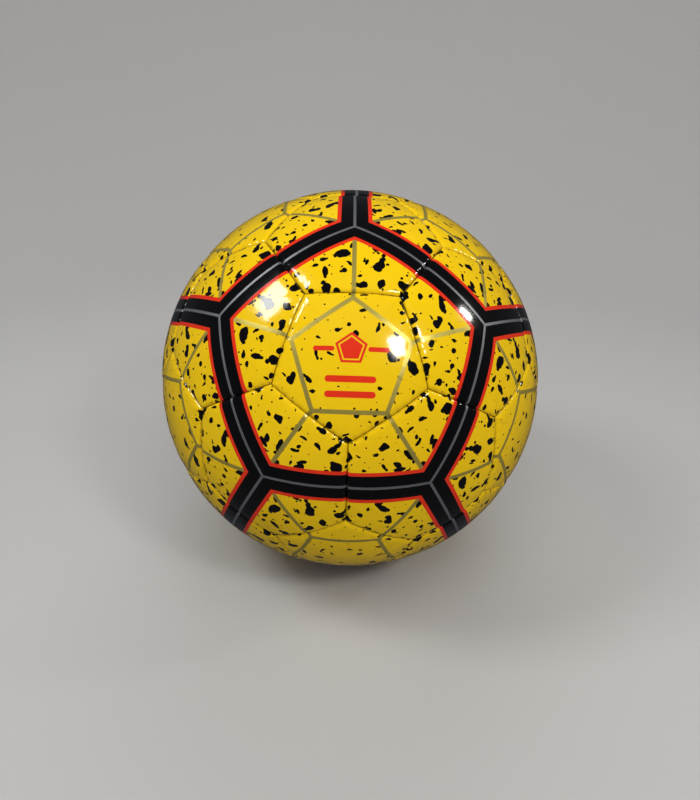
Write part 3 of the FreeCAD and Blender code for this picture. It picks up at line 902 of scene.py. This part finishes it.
valve = {
    # reach from the axis and depth below the ball's surface, in mm
    "opening": 5.4, "neck": 5.2, "neckTop": 0.3, "flange": 13.0, "flangeTop": 4.7, "flangeLow": 6.0,
    "tube": 4.6, "tubeLow": 23.55, "bore": 2.45, "seat": 3.45, "seatLow": 3.1,
    "core": 2.4, "coreLow": 22.0, "head": 3.4, "headTop": 0.8, "headLow": 3.0,
    "needle": 1.0, "needleLow": 14.8,
    # rounded and slanted edges
    "lip": 0.45, "seatEdge": 0.2, "boreEdge": 0.15, "boreEnd": 0.3, "tubeRound": 0.6, "flangeRound": 0.25,
    "needleTip": 0.1, "funnel": 0.75, "headRound": 0.35, "headUnder": 0.2, "coreRound": 0.8,
    # grip ribs round the tube: the first's height over its end, the last's depth, spacing, groove shape
    "ribFrom": 3.0, "ribTo": 10.0, "ribStep": -2.2,
    "ribGroove": ((0.0, 0.0), (0.3, 0.22), (0.8, 0.22), (1.1, 0.0)),
    "turns": 96, "flangeSteps": 8, "smooth": 35,
}
valveAxis = Vector((-1, 1, 1)).normalized()


def turned(name, profile, material):
    # spins a profile of (radius, depth below the ball's surface), in mm, about the valve's axis
    frameOfValve = turnTo(valveAxis, up)
    count = valve["turns"]
    places = []
    for reach, depth in profile:
        for step in range(count):
            angle = step * 2 * math.pi / count
            aside = Vector((math.cos(angle), math.sin(angle), 0)) * reach * mm
            places.append(frameOfValve @ (aside + up * (ballRadius - depth * mm)))
    faces = []
    for ring in range(len(profile)):
        here, after = ring * count, (ring + 1) % len(profile) * count
        for step in range(count):
            beside = (step + 1) % count
            faces.append((here + step, here + beside, after + beside, after + step))
    mesh = bpy.data.meshes.new(name)
    mesh.from_pydata(places, [], faces)
    mesh.materials.append(material)
    thing = addThing(name, mesh)
    tidyMesh(mesh)
    return thing


def tidyMesh(mesh):
    # joins the points on the axis, turns every face outwards and keeps the sharper edges sharp
    work = bmesh.new()
    work.from_mesh(mesh)
    bmesh.ops.remove_doubles(work, verts=work.verts, dist=1e-7)
    bmesh.ops.recalc_face_normals(work, faces=work.faces)
    for edge in work.edges:
        edge.smooth = len(edge.link_faces) == 2 and edge.calc_face_angle(0) < math.radians(valve["smooth"])
    for face in work.faces:
        face.smooth = True
    work.to_mesh(mesh)
    work.free()


def arc(reach, depth, radius, start, end, steps=6):
    # points round a rounded edge: centre reach and depth, angles in degrees from outwards, towards the surface
    angles = [math.radians(start + (end - start) * step / steps) for step in range(steps + 1)]
    return [(reach + radius * math.cos(angle), depth - radius * math.sin(angle)) for angle in angles]


def makeRubber(name, colour, worn, grain):
    material, tree, shader = newMaterial(name)
    where = objectPlace(tree)
    bloom = noise(tree, where, 60.0, 4.0, 0.6)
    fine = noise(tree, where, grain, 3.0, 0.6)
    plug(tree, shader.inputs["Base Color"], mixColour(tree, bloom * 0.8, colour, worn))
    plug(tree, shader.inputs["Roughness"], 0.38 + bloom * 0.2 + fine * 0.1)
    addBump(tree, shader, 0.5, 0.06 * mm, fine + bloom * 0.5)
    shader.inputs["Specular IOR Level"].default_value = 0.4
    return material


def flangeCurve(depth, reach):
    # the flange is dished to follow the ball
    radius = ballRadius / mm - depth
    return ballRadius / mm - math.sqrt(radius * radius - reach * reach)


def housingProfile():
    v = valve
    lip, tubeEdge, flangeEdge = v["lip"], v["tubeRound"], v["flange"] - v["flangeRound"]
    profile = arc(v["neck"] - lip, v["neckTop"] + lip, lip, 0, 90)
    profile += arc(v["seat"] + lip, v["neckTop"] + lip, lip, 90, 180)
    profile += [(v["seat"], v["seatLow"] - v["seatEdge"]), (v["seat"] - v["seatEdge"], v["seatLow"])]
    profile += [(v["bore"] + v["boreEdge"], v["seatLow"]), (v["bore"], v["seatLow"] + v["boreEdge"])]
    profile += [(v["bore"], v["tubeLow"] - v["boreEnd"]), (v["bore"] + v["boreEnd"], v["tubeLow"])]
    profile += arc(v["tube"] - tubeEdge, v["tubeLow"] - tubeEdge, tubeEdge, -90, 0)
    ribs = np.arange(v["tubeLow"] - v["ribFrom"], v["ribTo"], v["ribStep"])
    profile += [(v["tube"] - dip, rib - along) for rib in ribs for along, dip in v["ribGroove"]]
    low = np.linspace(v["tube"], flangeEdge, v["flangeSteps"])
    top = np.linspace(flangeEdge, v["neck"], v["flangeSteps"])
    rim = (flangeCurve(v["flangeLow"], v["flange"]) + flangeCurve(v["flangeTop"], v["flange"])) / 2
    profile += [(reach, flangeCurve(v["flangeLow"], reach)) for reach in low]
    profile += [(v["flange"], rim)]
    profile += [(reach, flangeCurve(v["flangeTop"], reach)) for reach in top]
    return profile


def coreProfile():
    # the head has a small funnel that guides the needle in
    v = valve
    funnel, head, under, end = v["funnel"], v["headRound"], v["headUnder"], v["coreRound"]
    profile = [(0.0, v["needleLow"] + v["needleTip"]), (v["needle"], v["needleLow"]),
               (v["needle"], v["headTop"] + funnel)]
    profile += arc(v["needle"] + funnel, v["headTop"] + funnel, funnel, 180, 90)
    profile += arc(v["head"] - head, v["headTop"] + head, head, 90, 0)
    profile += arc(v["head"] - under, v["headLow"] - under, under, 0, -90)
    profile += [(v["core"], v["headLow"]), (v["core"], v["coreLow"] - end)]
    profile += arc(v["core"] - end, v["coreLow"] - end, end, 0, -90)
    return profile + [(0.0, v["coreLow"])]


def makeValve():
    rubber = makeRubber("valveRubber", (0.010, 0.010, 0.011, 1), (0.030, 0.029, 0.028, 1), 1800.0)
    soft = makeRubber("coreRubber", (0.028, 0.027, 0.026, 1), (0.055, 0.053, 0.050, 1), 2600.0)
    piece = turned("valve_housing_moulded", housingProfile(), rubber)
    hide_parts("valve_housing")
    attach(piece, "ball")
    plugPiece = turned("valve_core_moulded", coreProfile(), soft)
    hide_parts("valve_core")
    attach(plugPiece, "valve_core")


# layers inside the ball keep the shape they were drawn with, and get their own materials

def makeFoam(name, first, second, cell):
    material, tree, shader = newMaterial(name)
    where = objectPlace(tree)
    cells = addNode(tree, "ShaderNodeTexVoronoi", Vector=where, Scale=1 / cell, Randomness=1.0)
    depth = outOf(tree, cells, "Distance")
    blotch = noise(tree, where, 40.0, 2.0)
    plug(tree, shader.inputs["Base Color"], mixColour(tree, depth * 0.8 + blotch * 0.3, second, first))
    plug(tree, shader.inputs["Roughness"], 0.8 + depth * 0.15)
    addBump(tree, shader, 0.9, 0.2 * mm, 1 - depth)
    return material


def makeFelt():
    material, tree, shader = newMaterial("dampingFelt")
    where = objectPlace(tree)
    long = noise(tree, vectorMath(tree, "MULTIPLY", where, (1, 1, 0.3)), 900.0, 4.0, 0.8)
    tuft = noise(tree, where, 170.0, 3.0)
    colour = mixColour(tree, long, (0.11, 0.11, 0.12, 1), (0.34, 0.34, 0.35, 1))
    plug(tree, shader.inputs["Base Color"], colour)
    plug(tree, shader.inputs["Roughness"], 0.9 + tuft * 0.1)
    addBump(tree, shader, 1.0, 0.4 * mm, long + tuft)
    shader.inputs["Sheen Weight"].default_value = 0.6
    return material


def finishInside():
    foam = makeFoam("backingFoam", (0.78, 0.77, 0.72, 1), (0.50, 0.49, 0.45, 1), 0.55 * mm)
    cloth = makeWeave("liningCloth", (0.52, 0.50, 0.45, 1), (0.78, 0.76, 0.70, 1), 0.6 * mm)
    latex = makeRubber("bladderRubber", (0.030, 0.028, 0.027, 1), (0.085, 0.080, 0.075, 1), 900.0)
    patch = makeRubber("patchRubber", (0.020, 0.019, 0.019, 1), (0.060, 0.057, 0.054, 1), 1400.0)
    felt = makeFelt()
    finishes = {
        "pentagon_foam_pads": foam, "hexagon_foam_pads": foam, "valve_foam_pad": foam,
        "pentagon_lining_cloths": cloth, "hexagon_lining_cloths": cloth, "valve_lining_cloth": cloth,
        "bladder": latex, "valve_reinforcing_ring": patch, "balance_patch": patch, "bladder_felt_strips": felt,
    }
    for node, material in finishes.items():
        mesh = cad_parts[node].data
        mesh.materials.clear()
        mesh.materials.append(material)


print("sewing the cover")
sewCover()
print("sewing the seams")
sewSeams()
print("moulding the valve")
makeValve()
print("finishing the inside")
finishInside()


# a pale floor that curves up behind, and soft lamps

room = {
    "flat": 0.5, "bend": 0.5, "high": 0.9, "steps": 96, "bendSteps": 16,
    "mottleScale": 3.0, "mottle": 0.12, "shade": 0.9, "roughness": 0.75,
    "colour": (0.46, 0.455, 0.45, 1), "worldColour": (0.80, 0.83, 0.88, 1), "worldStrength": 0.055,
}
lamps = (
    # azimuth and elevation from the ball, distance, width and height in metres, watts, colour, mirrored
    {"name": "windowLamp", "azimuth": -74, "elevation": 51, "far": 0.85, "wide": 0.22, "high": 0.28,
     "watts": 2.8, "colour": (0.97, 0.99, 1.0), "mirrored": True},
    {"name": "frontLamp", "azimuth": 36, "elevation": 42, "far": 0.80, "wide": 0.13, "high": 0.10,
     "watts": 1.6, "colour": (1.0, 0.98, 0.95), "mirrored": True},
    {"name": "sideLamp", "azimuth": 90, "elevation": 34, "far": 0.80, "wide": 0.05, "high": 0.10,
     "watts": 0.6, "colour": (1.0, 0.97, 0.92), "mirrored": True},
    {"name": "topLamp", "azimuth": 5, "elevation": 62, "far": 1.3, "wide": 1.1, "high": 0.9,
     "watts": 8.0, "colour": (1.0, 0.99, 0.98), "mirrored": False},
    {"name": "backLamp", "azimuth": 178, "elevation": 50, "far": 1.1, "wide": 0.8, "high": 0.5,
     "watts": 3.0, "colour": (1.0, 1.0, 1.0), "mirrored": False},
)


def makeFloor():
    material, tree, shader = newMaterial("paleFloor")
    where = objectPlace(tree)
    mottle = noise(tree, where, room["mottleScale"], 3.0)
    pale = room["colour"]
    darker = [room["shade"] * part for part in pale[:3]] + [1]
    plug(tree, shader.inputs["Base Color"], mixColour(tree, mottle * room["mottle"], pale, darker))
    shader.inputs["Roughness"].default_value = room["roughness"]
    low = -ballRadius
    bend = [math.radians(90 * step / room["bendSteps"]) for step in range(room["bendSteps"] + 1)]
    profile = [(room["flat"] / 2, low)]
    profile += [(room["flat"] + room["bend"] * math.sin(angle), low + room["bend"] * (1 - math.cos(angle)))
                for angle in bend]
    profile.append((room["flat"] + room["bend"], low + room["high"]))
    count = room["steps"]
    turns = [step * 2 * math.pi / count for step in range(count)]
    places = [(reach * math.cos(turn), reach * math.sin(turn), z) for reach, z in profile for turn in turns]
    faces = [(ring * count + step, (ring + 1) * count + step,
              (ring + 1) * count + (step + 1) % count, ring * count + (step + 1) % count)
             for ring in range(len(profile) - 1) for step in range(count)]
    faces.append(tuple(range(count)))
    mesh = bpy.data.meshes.new("studioFloor")
    mesh.from_pydata(places, [], faces)
    mesh.materials.append(material)
    mesh.polygons.foreach_set("use_smooth", [True] * len(faces))
    floor = addThing("studioFloor", mesh)
    floor.visible_glossy = False


def addLamps():
    for lamp in lamps:
        data = bpy.data.lights.new(lamp["name"], "AREA")
        data.shape = "RECTANGLE"
        data.size = lamp["wide"]
        data.size_y = lamp["high"]
        data.energy = lamp["watts"]
        data.color = lamp["colour"]
        thing = addThing(lamp["name"], data)
        thing.location = lookDirection(lamp["azimuth"], lamp["elevation"]) * lamp["far"]
        aimAt(thing, Vector())
        thing.visible_glossy = lamp["mirrored"]
    world = bpy.data.worlds.new("studioAir")
    world.use_nodes = True
    background = world.node_tree.nodes["Background"]
    background.inputs["Color"].default_value = room["worldColour"]
    background.inputs["Strength"].default_value = room["worldStrength"]
    bpy.context.scene.world = world


print("setting up the floor and lamps")
makeFloor()
addLamps()
